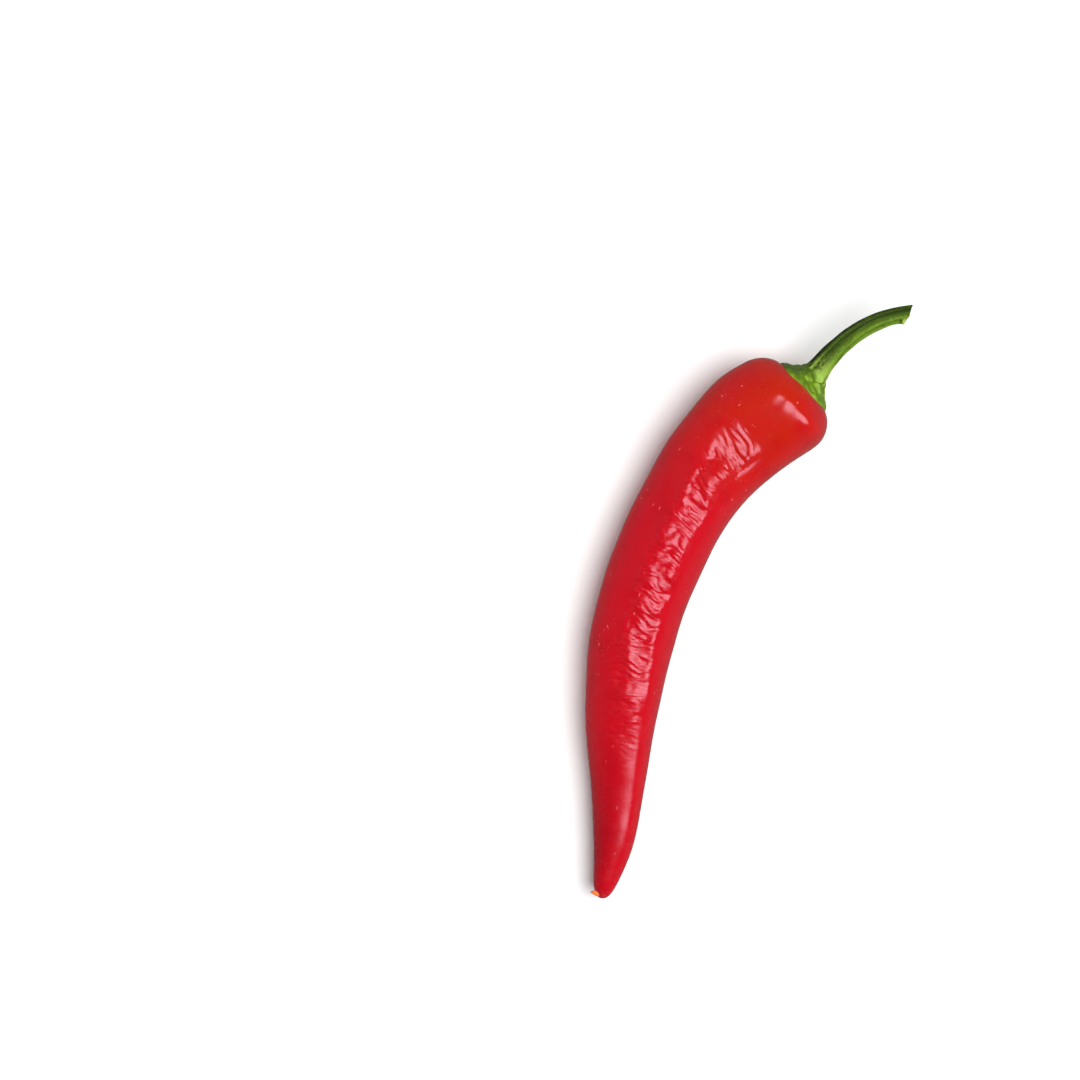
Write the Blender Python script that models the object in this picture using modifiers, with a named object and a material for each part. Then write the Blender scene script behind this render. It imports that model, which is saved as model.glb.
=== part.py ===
"""A red chilli pepper, as picked, lying on its side.

It has four pieces: the pod, the calyx that caps its blunt end, the stem, and the dried style at its
tip. Each is a coarse cage of rings along a centre line, smoothed by Subdivision Surface.

The tip points towards -Y and the stem towards +Y, the hollow of the bend faces +X, and +Z is up. The
origin is under the middle of the whole pepper, on the surface that it lies on. Sizes are in
millimetres, measured from the tip until centre_on_origin moves the pepper.
"""

from math import cos, exp, pi, radians, sin, tan

import bmesh
import bpy
from mathutils import Vector

MM = 0.001
UP = Vector((0, 0, 1))
GAP = 0.3  # between pieces that touch

# The pod, as the middle (x, y) and half width of its sections, from the tip to the shoulder.
POD_SECTIONS = [
    (0.9, -0.9, 1.2),
    (0.6, 0.8, 2.45),
    (0.25, 3.9, 3.4),
    (-0.8, 11.5, 4.8),
    (-3.5, 21.5, 6.15),
    (-7.8, 33.5, 7.8),
    (-12.3, 47.5, 9.7),
    (-16.3, 62.5, 11.15),
    (-18.5, 77.5, 11.7),
    (-18.5, 92.5, 12.2),
    (-17.2, 107.3, 12.4),
    (-13.7, 121.8, 13.6),
    (-8.4, 132.9, 15.0),
]
# The rest of the shoulder and the seat of the calyx, which share one straight axis.
SEAT = Vector((-0.1, 146.8, 14.0))
SEAT_AXIS = Vector((cos(radians(65.5)), sin(radians(65.5)), 0))
SHOULDER = [(8.4, 15.2), (5.0, 14.4), (1.9, 12.2), (0.3, 9.4), (0.1, 7.2)]  # depth, half width
SEAT_DISH = [(0.5, 4.5), (0.9, 1.8)]

POD_SIDES = 12
POD_FLATNESS = 0.95  # half height over half width
LOBES = 3
LOBE_SIZE = 0.03  # at the shoulder, over the half width; it fades to none at the tip
LOBE_TURN = radians(66)  # the lobe on top, counted from the hollow side of the bend
TIP_LIFT = 5.5  # the underside's height at the tip, which falls to 0 over TIP_RISE
TIP_RISE = 62.0
REST_DEPTH = 0.3  # how far the skin under the pod is pressed flat

# The waist: a hollow in the top behind the shoulder, by its place and size from the seat.
WAIST_DIP = 4.4
WAIST_START, WAIST_BOTTOM, WAIST_END = 6.0, 21.0, 37.0
WAIST_SIDE, WAIST_WIDTH = 3.5, 9.0

# The calyx: a five-toothed cone that follows the pod at its rim and narrows to the stem.
CALYX_RIM = 7.8
TEETH = 5
TOOTH_SIZE = 0.7
TOOTH_TURN = radians(51)
CALYX_EDGE = 0.6  # thickness at the rim
CALYX_CONE = [(6.0, 0.4), (4.5, 0.7)]  # half width, share of the way from the seat to the stem
CALYX_SIDES = 20

# The stem's sections, as middle and half width, from the calyx to the cut.
STEM_SECTIONS = [
    (1.8, 151.1, 14.4, 3.5),
    (2.3, 153.0, 14.7, 3.0),
    (3.4, 156.5, 15.2, 2.7),
    (5.1, 160.6, 15.9, 2.45),
    (7.4, 164.7, 16.5, 2.3),
    (10.4, 168.6, 17.0, 2.2),
    (14.1, 171.9, 17.4, 2.15),
    (16.8, 173.5, 17.5, 2.2),
    (18.9, 174.6, 17.6, 2.35),
]
STEM_SIDES = 10
STEM_RIB = 0.12  # height of a rib, as a share of the half width
CUT_ANGLE = radians(24)  # the cut leaves the outer side of the bend longer

# The style's sections, from its base on the pod's tip to its point.
STYLE_SECTIONS = [
    (-1.5, 0.0, 7.9, 0.85),
    (-1.9, -0.15, 8.0, 0.7),
    (-2.2, -0.3, 8.1, 0.4),
    (-2.5, -0.4, 8.1, 0.15),
]
STYLE_SIDES = 8


def ring(middle, ahead, half_width, sides, flatness=1.0, lobes=0, lobe_size=0.0, lobe_turn=0.0):
    """Points round a section, counted from its right, whose half width swells at each lobe."""
    right = ahead.cross(UP).normalized()
    over = right.cross(ahead).normalized()
    smoothing = 3 / (2 + cos(2 * pi / sides))  # Subdivision Surface draws a ring in by this much
    points = []
    for i in range(sides):
        angle = 2 * pi * i / sides
        half = half_width * smoothing * (1 + lobe_size * cos(lobes * (angle - lobe_turn)))
        points.append(middle + right * half * cos(angle) + over * half * sin(angle) * flatness)
    return points


def directions(middles):
    """The way ahead at each point of a line, from the points on either side of it."""
    ahead = [b - a for a, b in zip(middles, middles[2:])]
    first = middles[1] - middles[0]
    last = middles[-1] - middles[-2]
    return [way.normalized() for way in (first, *ahead, last)]


def pod_height(y, half_width):
    """Height of a section's middle, so that the pod lies on its underside and the tip stands clear."""
    clear = max(1 - y / TIP_RISE, 0) ** 2
    return half_width * POD_FLATNESS + TIP_LIFT * clear - REST_DEPTH


def sink_waist(points, middle, half_width):
    """Lowers the upper points of a section by the waist's depth where they are."""
    for point in points:
        away = point - SEAT
        depth = -away.dot(SEAT_AXIS)
        side = (away.dot(SEAT_AXIS.cross(UP)) - WAIST_SIDE) / WAIST_WIDTH
        upper = max((point.z - middle.z) / half_width, 0)
        fallen = (depth - WAIST_START) / (WAIST_BOTTOM - WAIST_START)
        risen = (WAIST_END - depth) / (WAIST_END - WAIST_BOTTOM)
        point.z -= WAIST_DIP * upper * max(min(fallen, risen), 0) * exp(-side * side)
    return points


def pod_rings():
    middles = [Vector((x, y, pod_height(y, half))) for x, y, half in POD_SECTIONS]
    half_widths = [half for _, _, half in POD_SECTIONS]
    ways = directions([*middles, SEAT])[:-1]
    for depth, half in SHOULDER + SEAT_DISH:
        middles.append(SEAT - SEAT_AXIS * depth)
        half_widths.append(half)
        ways.append(SEAT_AXIS)
    rings = []
    for middle, half, way in zip(middles, half_widths, ways):
        lobe_size = LOBE_SIZE * min(middle.y / SEAT.y, 1)
        points = ring(middle, way, half, POD_SIDES, POD_FLATNESS, LOBES, lobe_size, LOBE_TURN)
        rings.append(sink_waist(points, middle, half))
    return rings


def stem_line():
    middles = [Vector((x, y, z)) for x, y, z, _ in STEM_SECTIONS]
    return middles, directions(middles)


def calyx_ring(middle, ahead, half_width, tooth_size=0.0):
    share = tooth_size / half_width
    return ring(middle, ahead, half_width, CALYX_SIDES, POD_FLATNESS, TEETH, share, TOOTH_TURN)


def calyx_rings():
    """From the middle of the underside out over the pod's seat, round the rim and up to the stem."""
    rings = []
    for depth, half in reversed(SHOULDER[-1:] + SEAT_DISH):
        rings.append(calyx_ring(SEAT + SEAT_AXIS * (GAP - depth), SEAT_AXIS, half))
    for height in (GAP, GAP + CALYX_EDGE):
        rings.append(calyx_ring(SEAT + SEAT_AXIS * height, SEAT_AXIS, CALYX_RIM, TOOTH_SIZE))
    stem_middles, stem_ways = stem_line()
    neck = stem_middles[0] - stem_ways[0] * GAP
    for half, share in [*CALYX_CONE, (STEM_SECTIONS[0][3], 1.0)]:
        middle = SEAT.lerp(neck, share)
        ahead = SEAT_AXIS.lerp(stem_ways[0], share).normalized()
        rings.append(calyx_ring(middle, ahead, half, TOOTH_SIZE * (1 - share)))
    return rings


def stem_rings():
    middles, ways = stem_line()
    rings = []
    for (*_, half), middle, way in zip(STEM_SECTIONS, middles, ways):
        rings.append(ring(middle, way, half, STEM_SIDES, 1, TEETH, STEM_RIB, TOOTH_TURN))
    right = ways[-1].cross(UP).normalized()
    for point in rings[-1]:
        point -= ways[-1] * (point - middles[-1]).dot(right) * tan(CUT_ANGLE)
    return rings


def style_rings():
    middles = [Vector((x, y, z)) for x, y, z, _ in STYLE_SECTIONS]
    ways = directions(middles)
    return [ring(m, w, half, STYLE_SIDES) for (*_, half), m, w in zip(STYLE_SECTIONS, middles, ways)]


def finish(name, colour, roughness):
    material = bpy.data.materials.new(name)
    material.use_nodes = True
    shader = material.node_tree.nodes["Principled BSDF"]
    shader.inputs["Base Color"].default_value = (*colour, 1)
    shader.inputs["Roughness"].default_value = roughness
    shader.inputs["Metallic"].default_value = 0
    return material


def soft_form(name, rings, levels, material, collection, parent, flat_ends=False):
    """A closed cage made by pushing a disc from ring to ring, smoothed by Subdivision Surface."""
    origin = sum(rings[0], Vector()) / len(rings[0])
    bm = bmesh.new()
    creases = bm.edges.layers.float.new("crease_edge")
    disc = bmesh.ops.create_circle(bm, cap_ends=True, segments=len(rings[0]), radius=1)["verts"]
    end = disc[0].link_faces[0]
    for vert, point in zip(end.verts, rings[0]):
        vert.co = (point - origin) * MM
    ends = [end]
    for points in rings[1:]:
        pushed = bmesh.ops.extrude_face_region(bm, geom=[end])["geom"]
        if end not in ends:
            bm.faces.remove(end)
        end = next(part for part in pushed if isinstance(part, bmesh.types.BMFace))
        for vert, point in zip(end.verts, points):
            vert.co = (point - origin) * MM
    ends.append(end)
    if flat_ends:
        for edge in [edge for face in ends for edge in face.edges]:
            edge[creases] = 1
    bmesh.ops.recalc_face_normals(bm, faces=bm.faces)
    mesh = bpy.data.meshes.new(name)
    bm.to_mesh(mesh)
    bm.free()
    mesh.shade_smooth()
    mesh.materials.append(material)
    piece = bpy.data.objects.new(name, mesh)
    collection.objects.link(piece)
    piece.parent = parent
    piece.location = origin * MM
    smooth = piece.modifiers.new("smooth", "SUBSURF")
    smooth.levels = levels
    smooth.render_levels = levels
    return piece


def press_flat(pod, collection, parent):
    """Takes off the sliver of the pod that lies below the surface, as its weight flattens it."""
    bpy.ops.mesh.primitive_cube_add(size=1)
    surface = bpy.context.object
    surface.name = "surface"
    surface.dimensions = (0.1, 0.3, 0.02)
    surface.location = (0, SEAT.y / 2 * MM, -0.01)
    surface.parent = parent
    surface.display_type = "WIRE"
    surface.hide_render = True
    for home in list(surface.users_collection):
        home.objects.unlink(surface)
    collection.objects.link(surface)
    press = pod.modifiers.new("press", "BOOLEAN")
    press.operation = "DIFFERENCE"
    press.solver = "EXACT"
    press.object = surface


def centre_on_origin(pepper, pieces):
    """Moves the pepper so that the middle of its underside is at the origin."""
    bpy.context.view_layer.update()
    graph = bpy.context.evaluated_depsgraph_get()
    corners = []
    for piece in pieces:
        evaluated = piece.evaluated_get(graph)
        corners += [piece.matrix_world @ Vector(corner) for corner in evaluated.bound_box]
    low = [min(corner[axis] for corner in corners) for axis in range(3)]
    high = [max(corner[axis] for corner in corners) for axis in range(3)]
    pepper.location = (-(low[0] + high[0]) / 2, -(low[1] + high[1]) / 2, -low[2])


def new_collection(name):
    collection = bpy.data.collections.new(name)
    bpy.context.scene.collection.children.link(collection)
    return collection


def main():
    for old in list(bpy.data.objects):
        bpy.data.objects.remove(old)
    chilli = new_collection("chilli_pepper")
    cutters = new_collection("cutters")
    pepper = bpy.data.objects.new("pepper", None)
    chilli.objects.link(pepper)

    skin = finish("pod_skin", (0.62, 0.012, 0.012), 0.25)
    green = finish("calyx_green", (0.2, 0.36, 0.04), 0.5)
    stalk = finish("stem_green", (0.06, 0.16, 0.02), 0.5)
    dried = finish("dried_style", (0.8, 0.25, 0.04), 0.5)

    pod = soft_form("pod", pod_rings(), 2, skin, chilli, pepper)
    press_flat(pod, cutters, pepper)
    calyx = soft_form("calyx", calyx_rings(), 1, green, chilli, pepper, flat_ends=True)
    stem = soft_form("stem", stem_rings(), 1, stalk, chilli, pepper, flat_ends=True)
    style = soft_form("style_remnant", style_rings(), 1, dried, chilli, pepper)
    centre_on_origin(pepper, [pod, calyx, stem, style])


main()
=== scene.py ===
"""The looks of a red chilli pepper: the skin, calyx, stem and dried style that stand for its CAD nodes.

Shapes are worked out in millimetres from the pod's tip, on the same sections as the CAD's, and then
moved to where the CAD's pod is. Angles round a section start at its right, the hollow side of the
bend, and pass over the top. Along is a distance over the surface from a piece's first end, and around
is a distance round the pod from its ridge.
"""

from math import cos, pi, radians, sin, tan

import bpy
import numpy as np
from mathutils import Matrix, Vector, noise


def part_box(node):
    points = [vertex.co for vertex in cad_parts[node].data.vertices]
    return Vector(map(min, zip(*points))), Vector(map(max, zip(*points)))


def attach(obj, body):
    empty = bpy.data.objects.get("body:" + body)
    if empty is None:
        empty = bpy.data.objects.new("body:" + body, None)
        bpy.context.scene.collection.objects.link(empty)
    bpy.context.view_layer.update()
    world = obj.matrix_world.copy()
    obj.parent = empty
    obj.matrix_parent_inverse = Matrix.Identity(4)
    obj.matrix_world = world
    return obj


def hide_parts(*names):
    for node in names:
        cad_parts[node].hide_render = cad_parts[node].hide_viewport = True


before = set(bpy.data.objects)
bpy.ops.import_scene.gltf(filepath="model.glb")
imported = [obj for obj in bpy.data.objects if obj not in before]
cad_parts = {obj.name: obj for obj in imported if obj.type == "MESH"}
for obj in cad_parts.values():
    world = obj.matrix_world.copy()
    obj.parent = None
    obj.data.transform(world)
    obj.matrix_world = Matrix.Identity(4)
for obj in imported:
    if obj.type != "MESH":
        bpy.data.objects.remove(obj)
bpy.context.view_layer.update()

MM = 0.001
UP = np.array([0.0, 0.0, 1.0])

# The pod's sections, as in the CAD: middle (x, y) and half width, from the tip to the shoulder.
POD_SECTIONS = [
    (0.9, -0.9, 1.2),
    (0.6, 0.8, 2.45),
    (0.25, 3.9, 3.4),
    (-0.8, 11.5, 4.8),
    (-3.5, 21.5, 6.15),
    (-7.8, 33.5, 7.8),
    (-12.3, 47.5, 9.7),
    (-16.3, 62.5, 11.15),
    (-18.5, 77.5, 11.7),
    (-18.5, 92.5, 12.2),
    (-17.2, 107.3, 12.4),
    (-13.7, 121.8, 13.6),
    (-8.4, 132.9, 15.0),
]
SEAT = np.array([-0.1, 146.8, 14.0])
SEAT_AXIS = np.array([cos(radians(65.5)), sin(radians(65.5)), 0.0])
SHOULDER = [(8.4, 15.2), (5.0, 14.4), (1.9, 12.2), (0.3, 9.4), (0.1, 7.2)]  # depth, half width
SEAT_DISH = [(0.5, 4.5), (0.9, 1.8)]
SEAT_LEAN = 0.09
POD_FLATNESS = 0.95
TIP_LIFT = 5.5
TIP_RISE = 62.0
REST_DEPTH = 0.3

# The shoulder's crest and the hollow behind it: how deep under the seat they lie, how high or low they
# are, how wide, and how far the hollow lies to one side.
CREST_DEPTH, CREST_HEIGHT, CREST_WIDTH = 6.6, 0.15, 2.4
CREST_ROUNDING = 2.5
WAIST_DIP = 4.4
WAIST_BOTTOM, WAIST_END = 22.5, 39.5
WAIST_SIDE, WAIST_WIDTH = 1.5, 10.0

# The soft ridge along the pod's top: its angle at the tip and at the shoulder, and its heights.
RIDGE_AT_TIP = radians(58)
RIDGE_AT_SHOULDER = radians(66)
UPPER_RIDGE_HEIGHT, UPPER_RIDGE_WIDTH = 0.38, 2.6
LOWER_RIDGE_HEIGHT, LOWER_RIDGE_FALL, LOWER_RIDGE_WIDTH = 0.85, 2.6, 4.5
LOBES = 3
LOBE_SIZE = 0.035

# Wrinkles across the pod, in a band beside the ridge: pitch along, length around and height.
DENTS = (6.5, 6.0, 1.0)
PUCKERS = (2.6, 4.0, 0.55)
FOLDS = (0.9, 3.8, 0.28)

POD_STEPS, POD_SIDES = 760, 128
STEM_STEPS, STEM_SIDES = 330, 144
CALYX_STEPS, CALYX_SIDES = 220, 180
STYLE_STEPS, STYLE_SIDES = 60, 48

# The stem's sections, as in the CAD: middle (x, y, z) and half width, from the calyx to the cut.
STEM_SECTIONS = [
    (1.8, 151.1, 14.4, 3.5),
    (2.3, 153.0, 14.7, 3.0),
    (3.4, 156.5, 15.2, 2.7),
    (5.1, 160.6, 15.9, 2.45),
    (7.4, 164.7, 16.5, 2.3),
    (10.4, 168.6, 17.0, 2.2),
    (14.1, 171.9, 17.4, 2.15),
    (16.8, 173.5, 17.5, 2.2),
    (18.9, 174.6, 17.6, 2.35),
]
CUT_ANGLE = radians(24)
CUT_FACE = 2.4  # from the cut's edge to its middle
TEETH = 5
TOOTH_TURN = radians(51)
TOOTH_LENGTHS = (1.2, 1.6, 0.6, 1.3, 1.9)
CALYX_RADIUS = 7.8

# The dried style's sections: middle (x, y, z) and half width, from the pod to its point.
STYLE_SECTIONS = [
    (0.4, 0.2, 7.8, 0.75),
    (-0.4, 0.05, 8.2, 0.88),
    (-1.2, -0.1, 8.3, 0.72),
    (-1.9, -0.25, 8.2, 0.42),
    (-2.5, -0.35, 8.1, 0.12),
]


# ---------------------------------------------------------------- shapes

def bspline(controls, t):
    """Points at t on the uniform cubic B-spline of a row of controls, which may be whole rings."""
    i = np.clip(np.floor(t).astype(int), 1, len(controls) - 3)
    u = (t - i).reshape(-1, *[1] * (controls.ndim - 1))
    weights = ((1 - u) ** 3, 3 * u**3 - 6 * u**2 + 4, -3 * u**3 + 3 * u**2 + 3 * u + 1, u**3)
    return sum(w * controls[i + k] for k, w in enumerate(weights, -1)) / 6


def unit(vectors):
    return vectors / np.maximum(np.linalg.norm(vectors, axis=-1, keepdims=True), 1e-9)


def ring_of(middle, ahead, half_widths, angles, flatness=1.0):
    right = unit(np.cross(ahead, UP))
    over = unit(np.cross(right, ahead))
    across = (half_widths * np.cos(angles))[:, None] * right
    return middle + across + (half_widths * np.sin(angles) * flatness)[:, None] * over


def directions(middles):
    ahead = np.empty_like(middles)
    ahead[1:-1] = middles[2:] - middles[:-2]
    ahead[0] = middles[1] - middles[0]
    ahead[-1] = middles[-1] - middles[-2]
    return unit(ahead)


def even_samples(controls, first, last, count):
    """Values of t that are evenly spaced along the surface, by its mean meridian."""
    t = np.linspace(first, last, 4000)
    surface = bspline(controls[:, ::12], t)
    steps = np.linalg.norm(np.diff(surface, axis=0), axis=2).mean(axis=1)
    travelled = np.concatenate([[0], np.cumsum(steps)])
    even = np.linspace(0, travelled[-1], count)
    return np.interp(even, travelled, t), even


def normals_of(surface):
    along = np.gradient(surface, axis=0)
    around = np.roll(surface, -1, axis=1) - np.roll(surface, 1, axis=1)
    return unit(np.cross(along, around))


def noise_at(*coordinates):
    """Smooth noise, from -1 to 1, over arrays of coordinates."""
    points = np.broadcast_arrays(*coordinates)
    flat = np.stack([p.ravel() for p in points], axis=1)
    return np.array([noise.noise(Vector(p)) for p in flat]).reshape(points[0].shape)


def cells_at(*coordinates):
    """Rounded cells over arrays of coordinates: 0 in the creases between them, 1 inside."""
    points = np.broadcast_arrays(*coordinates)
    flat = np.stack([p.ravel() for p in points], axis=1)
    nearest = [noise.voronoi(Vector(p))[0] for p in flat]
    return smoothstep(0, 0.45, np.array([n[1] - n[0] for n in nearest])).reshape(points[0].shape)


def smoothstep(low, high, value):
    t = np.clip((value - low) / (high - low), 0, 1)
    return t * t * (3 - 2 * t)


def hump(centre, width, value):
    return np.exp(-(((value - centre) / width) ** 2))


def skin_mesh(name, surface, attributes, place):
    """A closed mesh over a grid of points, whose first and last rings are drawn in to a point."""
    rings, sides, _ = surface.shape
    body = surface[1:-1].reshape(-1, 3)
    points = np.concatenate([body, surface[0].mean(0)[None], surface[-1].mean(0)[None]])
    start, end = len(body), len(body) + 1
    columns = np.arange(sides)
    beside = np.roll(columns, -1)
    faces = []
    for row in range(rings - 3):
        low, high = row * sides, (row + 1) * sides
        faces += list(zip(low + columns, high + columns, high + beside, low + beside))
    last = (rings - 3) * sides
    faces += [(start, a, b) for a, b in zip(columns, beside)]
    faces += [(end, last + b, last + a) for a, b in zip(columns, beside)]
    mesh = bpy.data.meshes.new(name)
    mesh.from_pydata((points * MM + place).tolist(), [], [tuple(map(int, f)) for f in faces])
    mesh.shade_smooth()
    for label, grid in attributes.items():
        values = np.concatenate([grid[1:-1].ravel(), [grid[0].mean(), grid[-1].mean()]])
        layer = mesh.attributes.new(label, "FLOAT", "POINT")
        layer.data.foreach_set("value", values.astype(np.float32))
    piece = bpy.data.objects.new(name, mesh)
    bpy.context.scene.collection.objects.link(piece)
    return piece


def pod_height(y, half_width):
    clear = max(1 - y / TIP_RISE, 0) ** 2
    return half_width * POD_FLATNESS + TIP_LIFT * clear - REST_DEPTH


def ridge_angle(share):
    return RIDGE_AT_TIP + (RIDGE_AT_SHOULDER - RIDGE_AT_TIP) * share


def pod_rings(angles):
    middles = np.array([(x, y, pod_height(y, half)) for x, y, half in POD_SECTIONS])
    half_widths = [half for *_, half in POD_SECTIONS]
    ways = list(directions(np.vstack([middles, SEAT]))[:-1])
    middles = list(middles)
    for depth, half in SHOULDER + SEAT_DISH:
        middles.append(SEAT - SEAT_AXIS * depth)
        half_widths.append(half)
        ways.append(SEAT_AXIS)
    rings = []
    for middle, half, way in zip(middles, half_widths, ways):
        share = min(middle[1] / SEAT[1], 1)
        lobe = LOBE_SIZE * min(share * 4, 1)
        halves = half * (1 + lobe * np.cos(LOBES * (angles - ridge_angle(share))))
        rings.append(ring_of(middle, way, halves, angles, POD_FLATNESS))
    return rings


def pod_controls(angles):
    """The pod's rings, with two more past each end so that the surface closes round."""
    rings, opposite = pod_rings(angles), pod_rings(angles + pi)
    return np.array(opposite[1::-1] + rings + opposite[:-3:-1])


def lean_back(surface):
    """Leans the calyx end back, so that it faces a little upwards like the stem."""
    depth = (SEAT - surface) @ SEAT_AXIS
    shift = SEAT_LEAN * (surface[..., 2] - SEAT[2]) * (1 - smoothstep(3, 12, depth))
    return surface - shift[..., None] * SEAT_AXIS


def wrinkles(along, around, depth, length):
    """Dents, puckers and fine folds in a band on the outer side of the ridge."""
    share = along / length
    warp = 1.5 * noise_at(along / 6, around / 5, 0.0)
    slanted = along + warp - (0.12 + 0.2 * smoothstep(60, 120, along)) * around
    heights = []
    for number, (pitch, reach, height) in enumerate((DENTS, PUCKERS, FOLDS)):
        heights.append(height * noise_at(slanted / pitch, around / reach, number + 1.0))
    heights[1] = np.abs(heights[1])  # puckers are round on top and meet in sharp valleys
    inner = around - 1.6 * (1 - share)
    band = smoothstep(-1.2, 1.0, inner) * (1 - smoothstep(7.0, 12.0, around))
    creased = band * smoothstep(34, 70, along) * smoothstep(19, 23.5, depth)
    return sum(heights) * (0.02 + 0.98 * creased), creased


def shoulder_form(surface, angles):
    """Upward shift of the blunt end's top: a low crest, and the long dip that starts behind it."""
    toward = SEAT - surface
    depth = toward @ SEAT_AXIS
    across = -(toward @ np.cross(SEAT_AXIS, UP))
    wander = 0.5 * noise_at(across / 3.0, depth / 9, 11.0)
    crest_line = CREST_DEPTH + 0.02 * (across - 0.5) ** 2 + wander
    crest = CREST_HEIGHT * hump(crest_line, CREST_WIDTH, depth) * smoothstep(-9.0, -5.0, across)
    lumps = 0.2 * noise_at(across / 3.0, depth / 2.4, 12.0) * hump(4.0, 2.5, depth)
    flat_top = (hump(9.5, 4.5, across) - 0.4 * hump(1.5, 5.0, across)) * hump(6.5, 3.0, depth)
    past_crest = (depth - crest_line + np.hypot(depth - crest_line, CREST_ROUNDING)) / 2
    fallen = np.clip(past_crest / (WAIST_BOTTOM - crest_line), 0, 1)
    dip = WAIST_DIP * fallen * (1.5 - 0.5 * fallen) * (1 - smoothstep(WAIST_BOTTOM, WAIST_END, depth))
    dip = dip * hump(WAIST_SIDE, WAIST_WIDTH, across) * np.maximum(np.sin(angles), 0)
    return (crest + lumps + flat_top) * smoothstep(0.1, 0.6, np.sin(angles)) - dip


def pod_relief(surface, along, around, length):
    """Height of the ridge and all the small uneven forms over the smooth pod."""
    x, y, z = np.moveaxis(surface, 2, 0)
    swell = 0.3 * noise_at(x / 14, y / 14, z / 14)
    upper = UPPER_RIDGE_HEIGHT * hump(0.0, UPPER_RIDGE_WIDTH, around)
    upper = upper * smoothstep(50, 80, along) * (1 - smoothstep(80, 135, along))
    softened = np.sqrt(around**2 + 0.6) - 0.6**0.5
    outer_fall = np.exp(-softened / LOWER_RIDGE_FALL)
    lower = LOWER_RIDGE_HEIGHT * np.where(around > 0, outer_fall, hump(0.0, LOWER_RIDGE_WIDTH, around))
    lower = lower * (1 + 0.2 * noise_at(along / 7, 0.0, 14.0)) * smoothstep(6, 24, along)
    lower = lower * (1 - smoothstep(50, 88, along))
    creases, creased = wrinkles(along, around, (SEAT - surface) @ SEAT_AXIS, length)
    return (creases + swell + upper + lower) * smoothstep(0, 10, along), creased


def make_pod():
    turn = np.linspace(0, 2 * pi, POD_SIDES, endpoint=False) - pi / 2
    angles = turn - 0.45 * np.sin(turn - pi / 2)  # closer together on top, where the wrinkles are
    controls = pod_controls(angles)
    t, even = even_samples(controls, 1.5, len(controls) - 2.5, POD_STEPS)
    surface = bspline(controls, t)
    place = placed_on("pod", surface)
    along = np.repeat(even[:, None], POD_SIDES, axis=1)
    girth = np.linalg.norm(surface - np.roll(surface, 1, axis=1), axis=2).sum(axis=1, keepdims=True)
    around = girth / (2 * pi) * (angles - ridge_angle(along / even[-1]))
    surface = lean_back(surface)
    relief, creased = pod_relief(surface, along, around, even[-1])
    surface += normals_of(surface) * relief[..., None]
    surface[..., 2] += shoulder_form(surface, angles)
    surface[..., 2] = np.maximum(surface[..., 2], 0)
    attributes = {"along": along, "around": around, "creased": creased}
    piece = skin_mesh("pod_skin", surface, attributes, place)
    return piece, place


def placed_on(node, surface):
    """The move, in metres, that puts a surface where the CAD node is."""
    low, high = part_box(node)
    middle = (surface.reshape(-1, 3).min(0) + surface.reshape(-1, 3).max(0)) / 2 * MM
    return np.array([(low.x + high.x) / 2 - middle[0], (low.y + high.y) / 2 - middle[1], 0])


def stem_line():
    middles = np.array([section[:3] for section in STEM_SECTIONS])
    return middles, directions(middles)


def closed_rings(rings):
    """Rings with two more past each end, so that the surface closes round."""
    half_turn = rings.shape[1] // 2
    before = np.roll(rings[1::-1], half_turn, axis=1)
    after = np.roll(rings[:-3:-1], half_turn, axis=1)
    return np.concatenate([before, rings, after])


def make_stem(place):
    angles = np.linspace(0, 2 * pi, STEM_SIDES, endpoint=False) - pi / 2
    middles, ways = stem_line()
    halves = [half for *_, half in STEM_SECTIONS]
    inside = middles[0] - ways[0] * 1.6
    rings = [ring_of(inside, ways[0], half, angles) for half in (1.5, 3.2)]
    for middle, way, half in zip(middles, ways, halves):
        rings.append(ring_of(middle, way, half, angles))
    right = unit(np.cross(ways[-1], UP))
    slant = ((rings[-1] - middles[-1]) @ right)[:, None] * ways[-1] * tan(CUT_ANGLE)
    rings[-1] = rings[-1] - slant
    edge = rings[-1]
    centre = edge.mean(axis=0)
    for share, sink in ((1.0, 0.02), (0.94, 0.03), (0.6, -0.12), (0.3, -0.2)):
        rings.append(centre + (edge - centre) * share + ways[-1] * sink)
    controls = closed_rings(np.array(rings))
    t, even = even_samples(controls, 1.5, len(controls) - 2.5, STEM_STEPS)
    surface = bspline(controls, t)
    along = np.repeat(even[:, None], len(angles), axis=1)
    turn = angles[None] - 0.012 * along
    ribs = 0.2 * np.cos(TEETH * (turn - TOOTH_TURN)) + 0.09 * np.cos(8 * turn + 1.0)
    grooves = 0.14 * noise_at(turn * 6, along / 14, 5.0) + 0.12 * noise_at(turn * 2.5, along / 4, 6.0)
    to_cut = even[-1] - CUT_FACE - along
    cut = smoothstep(-0.2, 0.2, -to_cut)
    relief = (ribs + grooves) * (1 - cut)
    side = np.repeat(np.cos(angles)[None], len(even), axis=0)
    rounded = 0.7 * smoothstep(-1.8, 0.0, -to_cut) * np.maximum(side, 0) ** 2
    swollen = 0.3 * hump(1.2, 0.9, to_cut) * smoothstep(0.4, 0.9, side)
    surface += normals_of(surface) * (relief - rounded + swollen)[..., None]
    attributes = {"along": along, "side": side, "relief": relief, "cut": cut, "to_cut": to_cut}
    return skin_mesh("stem_stalk", surface, attributes, place)


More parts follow.
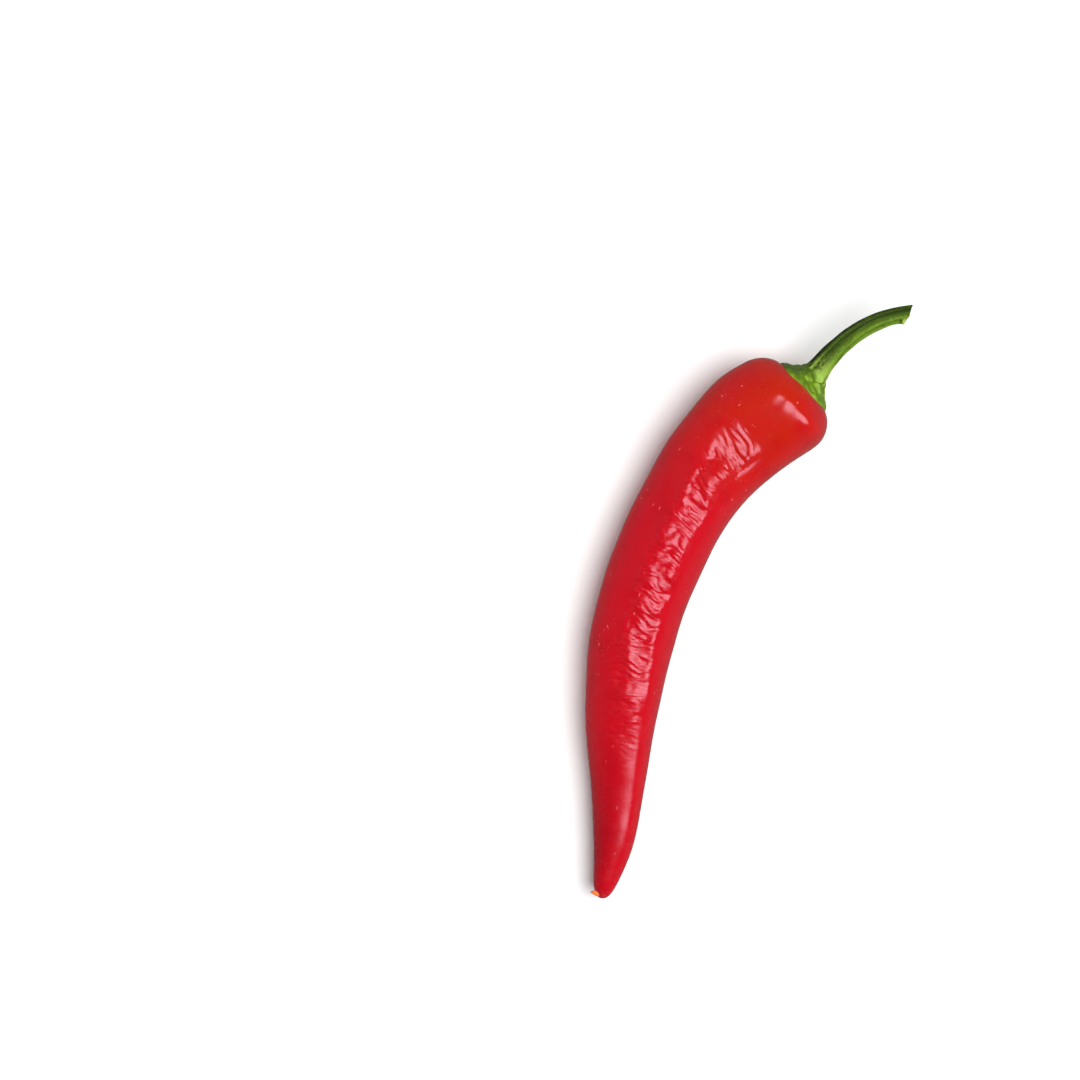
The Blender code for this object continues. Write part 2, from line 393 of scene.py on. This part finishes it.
def make_calyx(place):
    angles = np.linspace(0, 2 * pi, CALYX_SIDES, endpoint=False) - pi / 2
    stem_middles, stem_ways = stem_line()
    neck = stem_middles[0]
    rim = angles * 0 + CALYX_RADIUS
    for number, length in enumerate(TOOTH_LENGTHS):
        turned = angles - TOOTH_TURN - number * 2 * pi / TEETH
        rim += length * np.exp(8 * (np.cos(turned) - 1))
    halves_and_heights = [(angles * 0 + 2.0, -0.8), (angles * 0 + 5.0, -0.6)]
    halves_and_heights += [(rim * 0.96, -0.25), (rim, 0.1), (rim * 0.99, 0.35), (rim * 0.9, 0.75)]
    rings = []
    for halves, height in halves_and_heights:
        droop = np.maximum(halves - 8.0, 0) * 0.55
        ring = ring_of(SEAT + SEAT_AXIS * height, SEAT_AXIS, halves, angles, POD_FLATNESS)
        rings.append(ring - droop[:, None] * SEAT_AXIS)
    for half, share in ((6.0, 0.38), (4.6, 0.68), (3.65, 0.95)):
        middle = SEAT + (neck - SEAT) * share
        way = unit(SEAT_AXIS + (stem_ways[0] - SEAT_AXIS) * share)
        rings.append(ring_of(middle, way, half, angles))
    for half, beyond in ((3.2, 1.2), (2.6, 2.4), (1.2, 2.4)):
        rings.append(ring_of(neck + stem_ways[0] * beyond, stem_ways[0], half, angles))
    controls = closed_rings(np.array(rings))
    t, even = even_samples(controls, 1.5, len(controls) - 2.5, CALYX_STEPS)
    surface = lean_back(bspline(controls, t))
    along = np.repeat(even[:, None], len(angles), axis=1)
    x, y, z = np.moveaxis(surface, 2, 0)
    warp = 0.35 * noise_at(x / 1.6, y / 1.6, z / 1.6)
    lumps = cells_at(x / 3.1 + warp, y / 3.1 - warp, z / 3.1)
    ribs = np.cos(TEETH * (angles - TOOTH_TURN))[None]
    share = along / even[-1]
    span = smoothstep(0.38, 0.5, share) * (1 - smoothstep(0.72, 0.86, share))
    relief = 0.22 * lumps + 0.15 * ribs + 0.14 * noise_at(x / 1.3, y / 1.3, z / 1.3)
    surface += normals_of(surface) * (span * relief)[..., None]
    side = np.repeat(np.cos(angles)[None], len(even), axis=0)
    attributes = {"along": share, "lumps": lumps, "side": side}
    return skin_mesh("calyx_cap", surface, attributes, place)


def make_style(place):
    angles = np.linspace(0, 2 * pi, STYLE_SIDES, endpoint=False)
    middles = np.array([section[:3] for section in STYLE_SECTIONS])
    halves = [half for *_, half in STYLE_SECTIONS]
    ways = directions(middles)
    rings = [ring_of(m, w, half, angles) for m, w, half in zip(middles, ways, halves)]
    controls = closed_rings(np.array(rings))
    t, even = even_samples(controls, 1.5, len(controls) - 2.5, STYLE_STEPS)
    surface = bspline(controls, t)
    along = np.repeat(even[:, None], len(angles), axis=1) / even[-1]
    relief = 0.08 * noise_at(angles[None] * 1.5, along * 5, 8.0)
    surface += normals_of(surface) * relief[..., None]
    return skin_mesh("style_point", surface, {"along": along}, place)


# ---------------------------------------------------------------- materials

class Shader:
    """A material's node tree, with short ways to add and join nodes."""

    def __init__(self, name):
        self.material = bpy.data.materials.new(name)
        self.material.use_nodes = True
        self.tree = self.material.node_tree
        self.surface = self.tree.nodes["Principled BSDF"]

    def set(self, **values):
        for label, value in values.items():
            self.surface.inputs[label.replace("_", " ")].default_value = value

    def add(self, kind, settings=None, **inputs):
        node = self.tree.nodes.new(kind)
        for label, value in (settings or {}).items():
            setattr(node, label, value)
        for label, value in inputs.items():
            self.feed(node.inputs[label.replace("_", " ")], value)
        return node

    def feed(self, socket, value):
        if isinstance(value, bpy.types.NodeSocket):
            self.tree.links.new(value, socket)
        else:
            socket.default_value = value

    def attribute(self, name):
        return self.add("ShaderNodeAttribute", {"attribute_name": name}).outputs["Fac"]

    def place(self):
        return self.add("ShaderNodeTexCoord").outputs["Object"]

    def vector(self, x, y, z=0.0):
        return self.add("ShaderNodeCombineXYZ", X=x, Y=y, Z=z).outputs["Vector"]

    def noise(self, vector, scale, detail, roughness=0.5):
        settings = {"Vector": vector, "Scale": scale, "Detail": detail, "Roughness": roughness}
        return self.add("ShaderNodeTexNoise", **settings).outputs["Fac"]

    def math(self, operation, a, b):
        node = self.add("ShaderNodeMath", {"operation": operation})
        self.feed(node.inputs[0], a)
        self.feed(node.inputs[1], b)
        return node.outputs[0]

    def times(self, a, b):
        return self.math("MULTIPLY", a, b)

    def plus(self, a, b):
        return self.math("ADD", a, b)

    def varied(self, value, texture, amount):
        """A value with a texture's departure from one half added, this many times over."""
        return self.plus(value, self.times(self.math("SUBTRACT", texture, 0.5), amount))

    def fade(self, value, low, high, to_low=0.0, to_high=1.0):
        node = self.add("ShaderNodeMapRange", {"interpolation_type": "SMOOTHSTEP"}, Value=value)
        ends = {"From Min": low, "From Max": high, "To Min": to_low, "To Max": to_high}
        for label, number in ends.items():
            node.inputs[label].default_value = number
        return node.outputs[0]

    def mix(self, share, a, b):
        node = self.add("ShaderNodeMix", {"data_type": "RGBA"})
        self.feed(node.inputs["Factor"], share)
        for socket, colour in ((node.inputs[6], a), (node.inputs[7], b)):
            self.feed(socket, (*colour, 1) if isinstance(colour, tuple) else colour)
        return node.outputs[2]

    def specks(self, vector, scale, rarity, size):
        """One where a speck is, in the few cells of a Voronoi pattern that have one."""
        cells = self.add("ShaderNodeTexVoronoi", Vector=vector, Scale=scale)
        chance = self.add("ShaderNodeSeparateColor", Color=cells.outputs["Color"]).outputs[0]
        inside = self.fade(cells.outputs["Distance"], size * 0.7, size * 1.3, 1.0, 0.0)
        return self.times(self.math("GREATER_THAN", chance, rarity), inside)

    def bump(self, height, strength, distance):
        node = self.add("ShaderNodeBump", Height=height, Strength=strength, Distance=distance)
        self.feed(self.surface.inputs["Normal"], node.outputs["Normal"])

    def colour(self, colour):
        self.feed(self.surface.inputs["Base Color"], colour)

    def roughness(self, roughness):
        self.feed(self.surface.inputs["Roughness"], roughness)


def pod_material():
    m = Shader("pod_skin_waxy")
    place = m.place()
    along, around = m.attribute("along"), m.attribute("around")
    scarlet, orange, crimson = (0.53, 0.003, 0.011), (0.49, 0.015, 0.004), (0.42, 0.002, 0.008)
    shoulder = m.fade(along, 105, 150)
    patches = m.noise(place, 60, 3)
    warm = m.times(shoulder, m.fade(patches, 0.3, 0.7, 0.4, 1.0))
    colour = m.mix(warm, scarlet, orange)
    deep = m.fade(m.noise(place, 130, 4, 0.6), 0.5, 0.75)
    colour = m.mix(m.times(deep, 0.55), colour, crimson)
    # Painted shade: darker red over the side left of the ridge, strongest at the tip and gone about 60
    # mm up the pod.
    painted_shade_near_tip = m.times(m.fade(along, 5, 60, 1.0, 0.0), m.fade(around, -1, 8))
    colour = m.mix(m.times(painted_shade_near_tip, 0.8), colour, (0.30, 0.001, 0.006))
    dots = m.specks(place, 520.0, 0.965, 0.10)
    stretched = m.vector(m.times(along, 0.4), m.times(around, 1.5))
    dashes = m.specks(stretched, 1.0, 0.972, 0.16)
    colour = m.mix(m.times(m.math("MAXIMUM", dots, dashes), 0.6), colour, (0.85, 0.34, 0.26))
    dust = m.specks(place, 1500.0, 0.80, 0.25)
    on_shoulder = m.times(m.fade(along, 118, 132), m.fade(along, 146, 158, 1.0, 0.0))
    on_shoulder = m.times(on_shoulder, m.fade(around, 1, 5))
    dust_patches = m.fade(m.noise(place, 75, 2), 0.55, 0.72)
    dusty = m.math("MAXIMUM", dust_patches, m.times(on_shoulder, 0.2))
    colour = m.mix(m.times(m.times(dust, dusty), 0.4), colour, (0.8, 0.30, 0.26))
    m.colour(colour)
    streaks = m.noise(m.vector(m.times(along, 0.9), m.times(around, 0.4)), 1.0, 3, 0.6)
    duller = m.times(m.fade(streaks, 0.45, 0.65, 0.0, 0.2), m.attribute("creased"))
    duller = m.plus(duller, m.fade(along, 45, 80, 0.07, 0.0))
    m.roughness(m.plus(m.fade(m.noise(place, 300, 3), 0.3, 0.7, 0.15, 0.24), duller))
    m.set(Subsurface_Weight=0.2, Subsurface_Scale=0.002, Subsurface_Radius=(1.0, 0.12, 0.08), IOR=1.46)
    m.set(Specular_Tint=(1.0, 0.82, 1.0, 1.0))
    lines = m.noise(m.vector(m.times(along, 1.7), m.times(around, 0.3)), 1.0, 2, 0.5)
    m.bump(m.times(lines, m.fade(m.attribute("creased"), 0.0, 0.8, 0.03, 1.0)), 0.5, 0.0003)
    return m.material


def stem_material():
    m = Shader("stem_ribbed_green")
    place = m.place()
    along, side, relief, cut = (m.attribute(a) for a in ("along", "side", "relief", "cut"))
    to_cut = m.attribute("to_cut")
    dark, mid = (0.014, 0.034, 0.0006), (0.048, 0.100, 0.003)
    light, pale = (0.125, 0.235, 0.012), (0.37, 0.53, 0.08)
    long_lines = m.vector(m.times(along, 0.16), m.times(side, 5.0), relief)
    short_lines = m.vector(m.times(along, 1.2), m.times(side, 7.0), relief)
    streaks = m.noise(long_lines, 1.0, 3, 0.6)
    # Painted light and shade: the stem's right side and raised ribs are lighter, its left side and
    # grooves darker, with streaks of its own colour over it.
    painted_light_and_streaks = m.varied(side, streaks, 1.6)
    painted_light_and_streaks = m.varied(painted_light_and_streaks, m.noise(short_lines, 1.0, 4, 0.7), 2.2)
    painted_light_and_streaks = m.plus(painted_light_and_streaks, m.times(relief, 1.6))
    colour = m.mix(m.fade(painted_light_and_streaks, -0.8, 0.15), dark, mid)
    colour = m.mix(m.fade(painted_light_and_streaks, 0.15, 0.95), colour, light)
    # Paler green near the calyx, partly the stem's own colour and partly painted light, laid on only on
    # the painted lit side.
    base = m.times(m.fade(along, 3, 12, 1.0, 0.0), m.fade(painted_light_and_streaks, -0.6, 0.3))
    colour = m.mix(m.times(base, 0.75), colour, pale)
    lower = m.fade(side, 0.35, 0.8)
    # Painted shade: a dark band on the right side just before the swelling at the cut end.
    painted_notch_shade = m.times(m.fade(to_cut, 3.4, 2.8), lower)
    colour = m.mix(m.times(painted_notch_shade, 0.6), colour, dark)
    # Painted highlight: pale green over the swelling by the cut, on the right side.
    swollen = m.times(m.fade(to_cut, 2.3, 1.8), m.fade(to_cut, 0.2, 0.6))
    swollen = m.times(swollen, lower)
    colour = m.mix(m.times(swollen, 0.9), colour, pale)
    colour = m.mix(m.times(cut, m.fade(side, -0.2, 0.5, 0.0, 0.5)), colour, pale)
    m.colour(colour)
    m.roughness(m.fade(streaks, 0.3, 0.7, 0.45, 0.6))
    m.set(Specular_IOR_Level=0.2, Specular_Tint=(1.0, 0.95, 0.6, 1.0))
    m.set(Subsurface_Weight=0.08, Subsurface_Scale=0.001, Subsurface_Radius=(0.4, 1.0, 0.2))
    m.bump(m.noise(place, 1600, 4, 0.6), 0.4, 0.0001)
    return m.material


def calyx_material():
    m = Shader("calyx_fresh_green")
    place = m.place()
    along, lumps, side = m.attribute("along"), m.attribute("lumps"), m.attribute("side")
    deep, olive = (0.02, 0.055, 0.003), (0.065, 0.125, 0.004)
    leaf, pale = (0.17, 0.30, 0.008), (0.39, 0.58, 0.11)
    mottle = m.noise(place, 700, 3, 0.6)
    # Painted light: the calyx's right side is leaf green and its left side olive.
    lit = m.varied(side, m.noise(place, 300, 2), 2.4)
    colour = m.mix(m.fade(lit, -1.0, 0.1), olive, leaf)
    # Pale green on raised lumps, stronger on the painted lit side: partly the lumps' own paler colour,
    # partly painted highlight.
    raised = m.varied(lumps, mottle, 1.6)
    pale_lumps_and_highlights = m.times(m.fade(raised, 0.4, 1.2), m.fade(lit, -0.6, 0.6, 0.1, 0.85))
    colour = m.mix(m.times(pale_lumps_and_highlights, m.fade(along, 0.42, 0.6, 0.3, 1.0)), colour, pale)
    # Painted shade: olive in the creases between the lumps near the rim.
    creases = m.times(m.fade(raised, 0.0, 0.5, 1.0, 0.0), m.fade(along, 0.40, 0.46))
    colour = m.mix(m.times(creases, 0.7), colour, olive)
    # A pale line along the rim's edge, then painted shadow: very dark green on the underside where the
    # calyx lies against the pod.
    rim = m.times(m.fade(along, 0.385, 0.400), m.fade(along, 0.405, 0.42, 1.0, 0.0))
    colour = m.mix(m.times(rim, 0.5), colour, pale)
    colour = m.mix(m.fade(along, 0.36, 0.385, 0.9, 0.0), colour, deep)
    m.colour(colour)
    m.roughness(m.fade(mottle, 0.3, 0.7, 0.38, 0.52))
    m.set(Specular_IOR_Level=0.3, Subsurface_Weight=0.15)
    m.set(Subsurface_Scale=0.001, Subsurface_Radius=(0.5, 1.0, 0.2))
    m.bump(m.noise(place, 1300, 4, 0.6), 0.5, 0.00015)
    return m.material


def style_material():
    m = Shader("style_dried_orange")
    place = m.place()
    along = m.attribute("along")
    colour = m.mix(m.fade(along, 0.25, 0.45), (0.62, 0.05, 0.02), (0.95, 0.22, 0.03))
    colour = m.mix(m.fade(along, 0.75, 0.92), colour, (0.55, 0.06, 0.02))
    stains = m.fade(m.noise(place, 1500, 3), 0.5, 0.7)
    colour = m.mix(m.times(stains, 0.7), colour, (0.6, 0.07, 0.02))
    m.colour(colour)
    m.set(Roughness=0.5)
    m.bump(m.noise(place, 2500, 3), 0.5, 0.0001)
    return m.material


# ---------------------------------------------------------------- stage

def floor_material():
    """Pale paper, which is as white as the background to the camera where it is far away."""
    m = Shader("floor_paper")
    grain = m.noise(m.place(), 90, 4)
    m.colour(m.mix(grain, (0.93, 0.93, 0.93), (0.95, 0.95, 0.95)))
    m.set(Roughness=0.8, Emission_Color=(1, 1, 1, 1))
    distance = m.add("ShaderNodeVectorMath", {"operation": "LENGTH"}, Vector=m.place()).outputs["Value"]
    seen = m.add("ShaderNodeLightPath").outputs["Is Camera Ray"]
    m.feed(m.surface.inputs["Emission Strength"], m.times(seen, m.fade(distance, 0.15, 0.8)))
    return m.material


def make_floor():
    bpy.ops.mesh.primitive_plane_add(size=6, location=(0, 0, -0.0002))
    floor = bpy.context.object
    floor.name = "floor"
    floor.data.materials.append(floor_material())
    floor.visible_glossy = False


def soft_light(name, size, distance, tilt, turn, watts, shows_in_gloss):
    """A round light that faces the pepper, tilted from straight overhead towards a heading."""
    light = bpy.data.lights.new(name, "AREA")
    light.shape = "DISK"
    light.size = size
    light.energy = watts
    lamp = bpy.data.objects.new(name, light)
    tilt, turn = radians(tilt), radians(turn)
    way = Vector((sin(tilt) * cos(turn), sin(tilt) * sin(turn), cos(tilt)))
    lamp.location = way * distance
    lamp.rotation_euler = way.to_track_quat("Z", "Y").to_euler()
    lamp.visible_camera = False
    lamp.visible_glossy = shows_in_gloss
    bpy.context.scene.collection.objects.link(lamp)


def make_world():
    """A dim room, lighter towards the horizon, behind which the camera sees plain white."""
    world = bpy.data.worlds.new("studio")
    world.use_nodes = True
    nodes, links = world.node_tree.nodes, world.node_tree.links
    where = nodes.new("ShaderNodeTexCoord")
    height = nodes.new("ShaderNodeSeparateXYZ")
    links.new(where.outputs["Generated"], height.inputs[0])
    glow = nodes.new("ShaderNodeMapRange")
    glow.interpolation_type = "SMOOTHSTEP"
    links.new(height.outputs["Z"], glow.inputs["Value"])
    for label, number in {"From Min": 0.0, "From Max": 0.7, "To Min": 0.20, "To Max": 0.05}.items():
        glow.inputs[label].default_value = number
    seen = nodes.new("ShaderNodeLightPath")
    level = nodes.new("ShaderNodeMath")
    level.operation = "MAXIMUM"
    links.new(glow.outputs[0], level.inputs[0])
    links.new(seen.outputs["Is Camera Ray"], level.inputs[1])
    links.new(level.outputs[0], nodes["Background"].inputs["Strength"])
    nodes["Background"].inputs["Color"].default_value = (1, 1, 1, 1)
    bpy.context.scene.world = world


def make_lights():
    soft_light("key", size=0.9, distance=1.0, tilt=17, turn=10, watts=14.5, shows_in_gloss=True)
    soft_light("fill", size=1.2, distance=1.0, tilt=65, turn=172, watts=3.0, shows_in_gloss=False)
    make_world()
    bpy.context.scene.view_settings.view_transform = "Standard"


def make_camera():
    camera = bpy.data.cameras.new("camera")
    camera.lens = 85
    camera.sensor_width = 36
    holder = bpy.data.objects.new("camera", camera)
    holder.location = (-0.0441, -0.0056, 0.6945)
    holder.rotation_euler = (0, 0, radians(21.67))
    bpy.context.scene.collection.objects.link(holder)
    bpy.context.scene.camera = holder


def main():
    pod, place = make_pod()
    pieces = {
        "pod": (pod, pod_material(), "pod_skin"),
        "calyx": (make_calyx(place), calyx_material(), "calyx_green"),
        "stem": (make_stem(place), stem_material(), "stem_green"),
        "style_remnant": (make_style(place), style_material(), "dried_style"),
    }
    for node, (piece, material, slot) in pieces.items():
        piece.data.materials.append(material)
        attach(piece, "root")
        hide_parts(node)
    make_floor()
    make_lights()
    make_camera()
    bpy.context.view_layer.update()


main()
